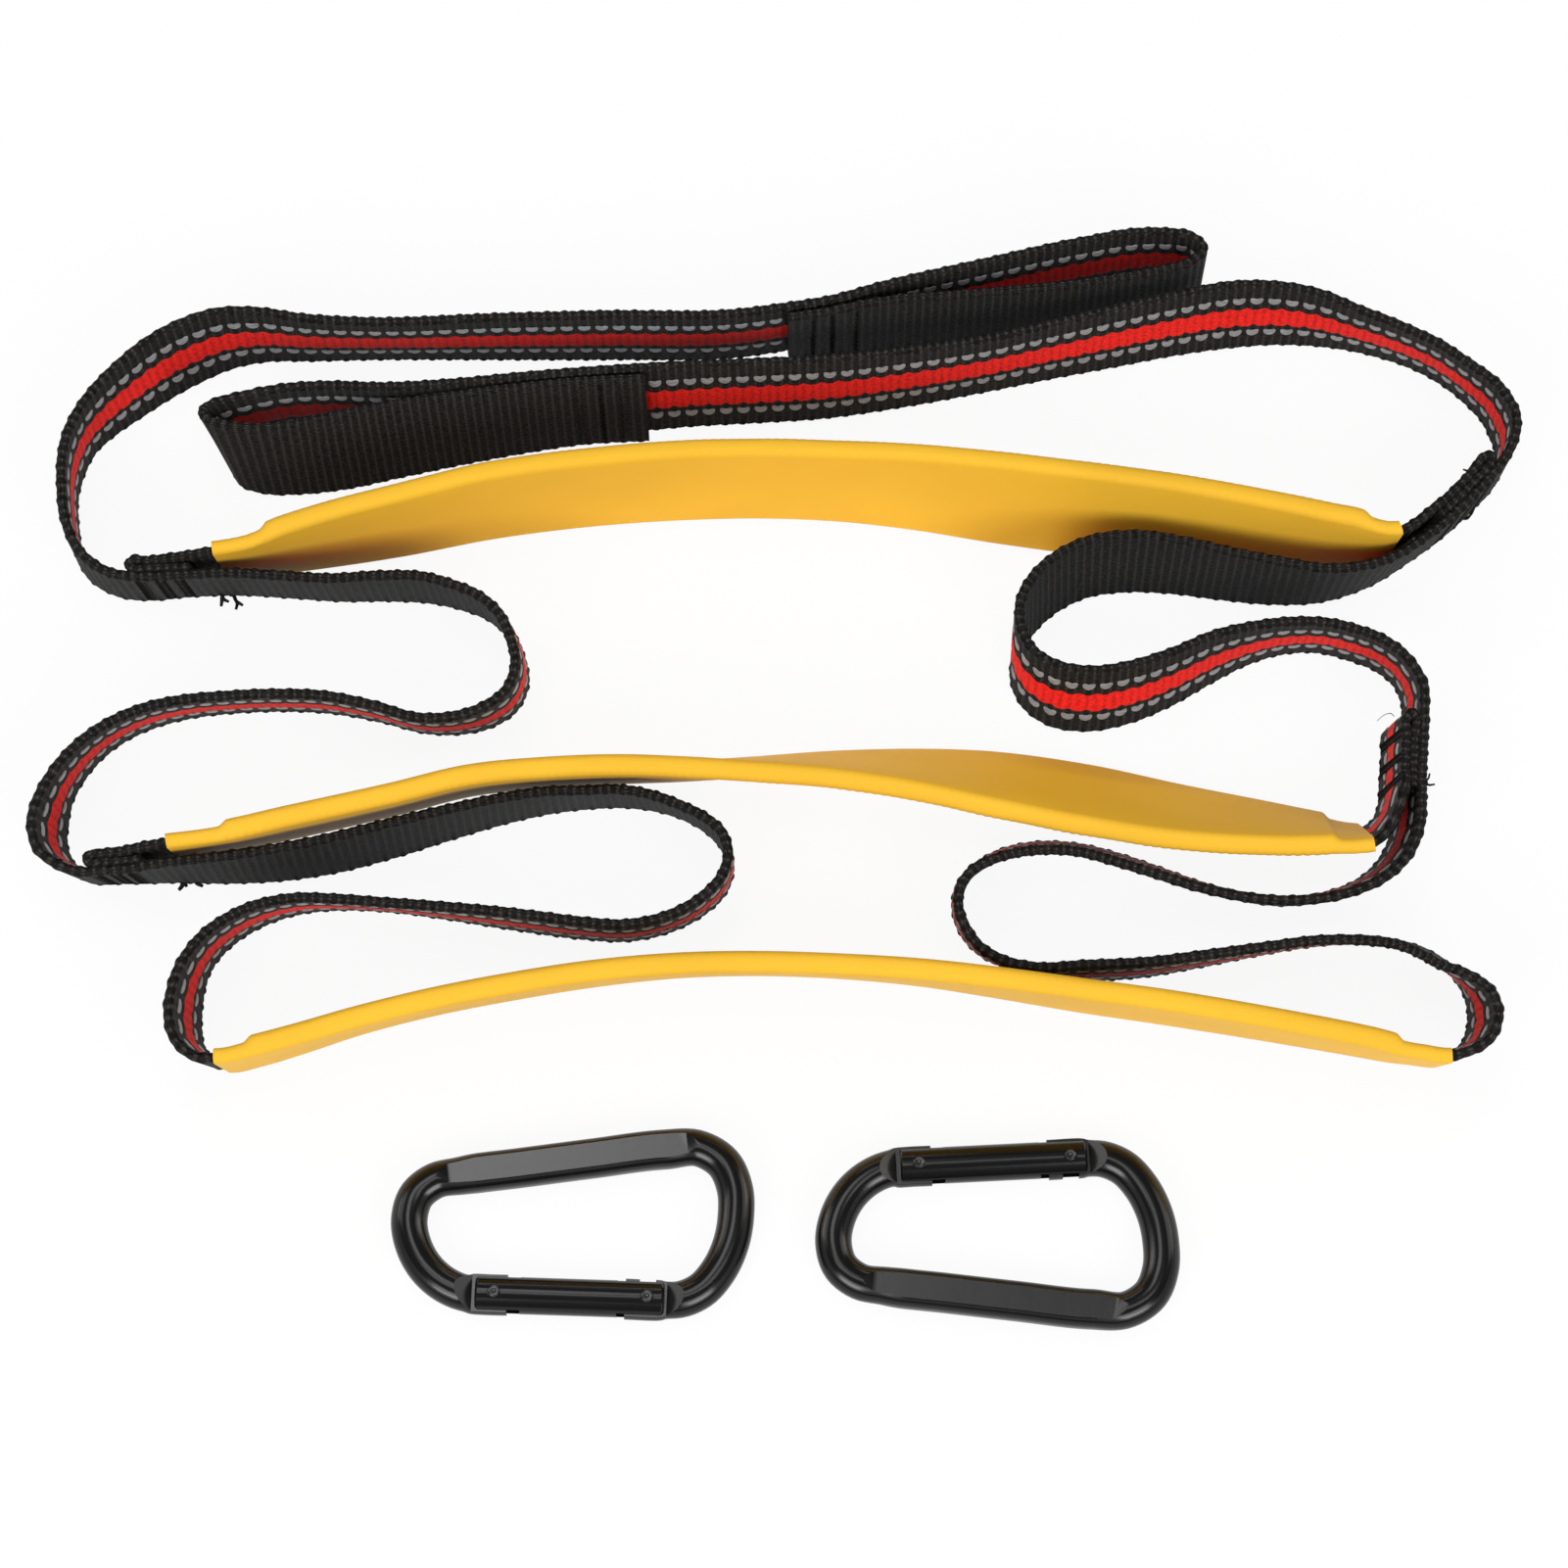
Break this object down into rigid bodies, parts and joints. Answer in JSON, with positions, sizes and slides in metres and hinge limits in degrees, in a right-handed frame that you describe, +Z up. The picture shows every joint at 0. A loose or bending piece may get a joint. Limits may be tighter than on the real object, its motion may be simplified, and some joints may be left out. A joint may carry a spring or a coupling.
{
  "type": "webbing ladder",
  "caption": "Webbing ladder with stiff sleeved steps sewn between its folded sides and a sewn eye at each end, laid on its edges beside loose gated snap links.",
  "frame": {"origin": "middle of the object's box, on the surface it lies on", "axes": "+X along the steps to the picture's right, +Y away from the camera, +Z up"},
  "size_m": [0.3412, 0.26, 0.033],
  "materials": {
    "webbing": "black woven webbing, one face with a red stripe between two rows of grey dashes",
    "sleeve": "smooth satin yellow tube",
    "insert": "plain strip hidden in the sleeve",
    "black_aluminium": "satin black anodised",
    "black_steel": "blackened",
    "spring_steel": "bare spring wire"
  },
  "bodies": {
    "ladder": {"right_eye_loop": "webbing", "left_upper_strap": "webbing", "left_middle_strap": "webbing", "left_lower_strap": "webbing", "lower_step_strap": "webbing", "right_lower_strap": "webbing", "right_middle_strap": "webbing", "right_upper_strap": "webbing", "left_eye_loop": "webbing", "upper_step_strap": "webbing", "middle_step_strap": "webbing", "upper_sleeve": "sleeve", "middle_sleeve": "sleeve", "lower_sleeve": "sleeve", "upper_insert": "insert", "middle_insert": "insert", "lower_insert": "insert"},
    "link_1": {"link_1_frame": "black_aluminium", "link_1_hinge_pin": "black_steel"},
    "link_1_gate": {"link_1_gate": "black_aluminium", "link_1_latch_pin": "black_steel", "link_1_spring": "spring_steel"},
    "link_1_plunger": {"link_1_plunger": "black_steel"},
    "link_2": {"link_2_frame": "black_aluminium", "link_2_hinge_pin": "black_steel"},
    "link_2_gate": {"link_2_gate": "black_aluminium", "link_2_latch_pin": "black_steel", "link_2_spring": "spring_steel"},
    "link_2_plunger": {"link_2_plunger": "black_steel"}
  },
  "joints": [
    {"name": "link_1_lift", "type": "slide", "parent": "ladder", "child": "link_1", "axis": [0, 0, 1], "range_m": [0, 0.2]},
    {"name": "link_1_gate_hinge", "type": "hinge", "parent": "link_1", "child": "link_1_gate", "pos_m": [-0.06431, -0.12233, 0.0041], "axis": [0, 0, 1], "range_deg": [0, 26], "stiffness_Nm_per_rad": 0.1, "springref_deg": -17.19},
    {"name": "link_1_plunger_slide", "type": "slide", "parent": "link_1_gate", "child": "link_1_plunger", "axis": [0.9995, -0.0332, 0], "range_m": [0, 0.001]},
    {"name": "link_2_lift", "type": "slide", "parent": "ladder", "child": "link_2", "axis": [0, 0, 1], "range_m": [0, 0.2]},
    {"name": "link_2_gate_hinge", "type": "hinge", "parent": "link_2", "child": "link_2_gate", "pos_m": [0.02949, -0.09313, 0.0041], "axis": [0, 0, -1], "range_deg": [0, 26], "stiffness_Nm_per_rad": 0.1, "springref_deg": -17.19},
    {"name": "link_2_plunger_slide", "type": "slide", "parent": "link_2_gate", "child": "link_2_plunger", "axis": [0.9987, 0.0506, 0], "range_m": [0, 0.001]}
  ],
  "couplings": [
    {"joint": "link_1_plunger_slide", "follows": "link_1_gate_hinge", "m_per_rad": 0.0022},
    {"joint": "link_2_plunger_slide", "follows": "link_2_gate_hinge", "m_per_rad": 0.0022}
  ]
}
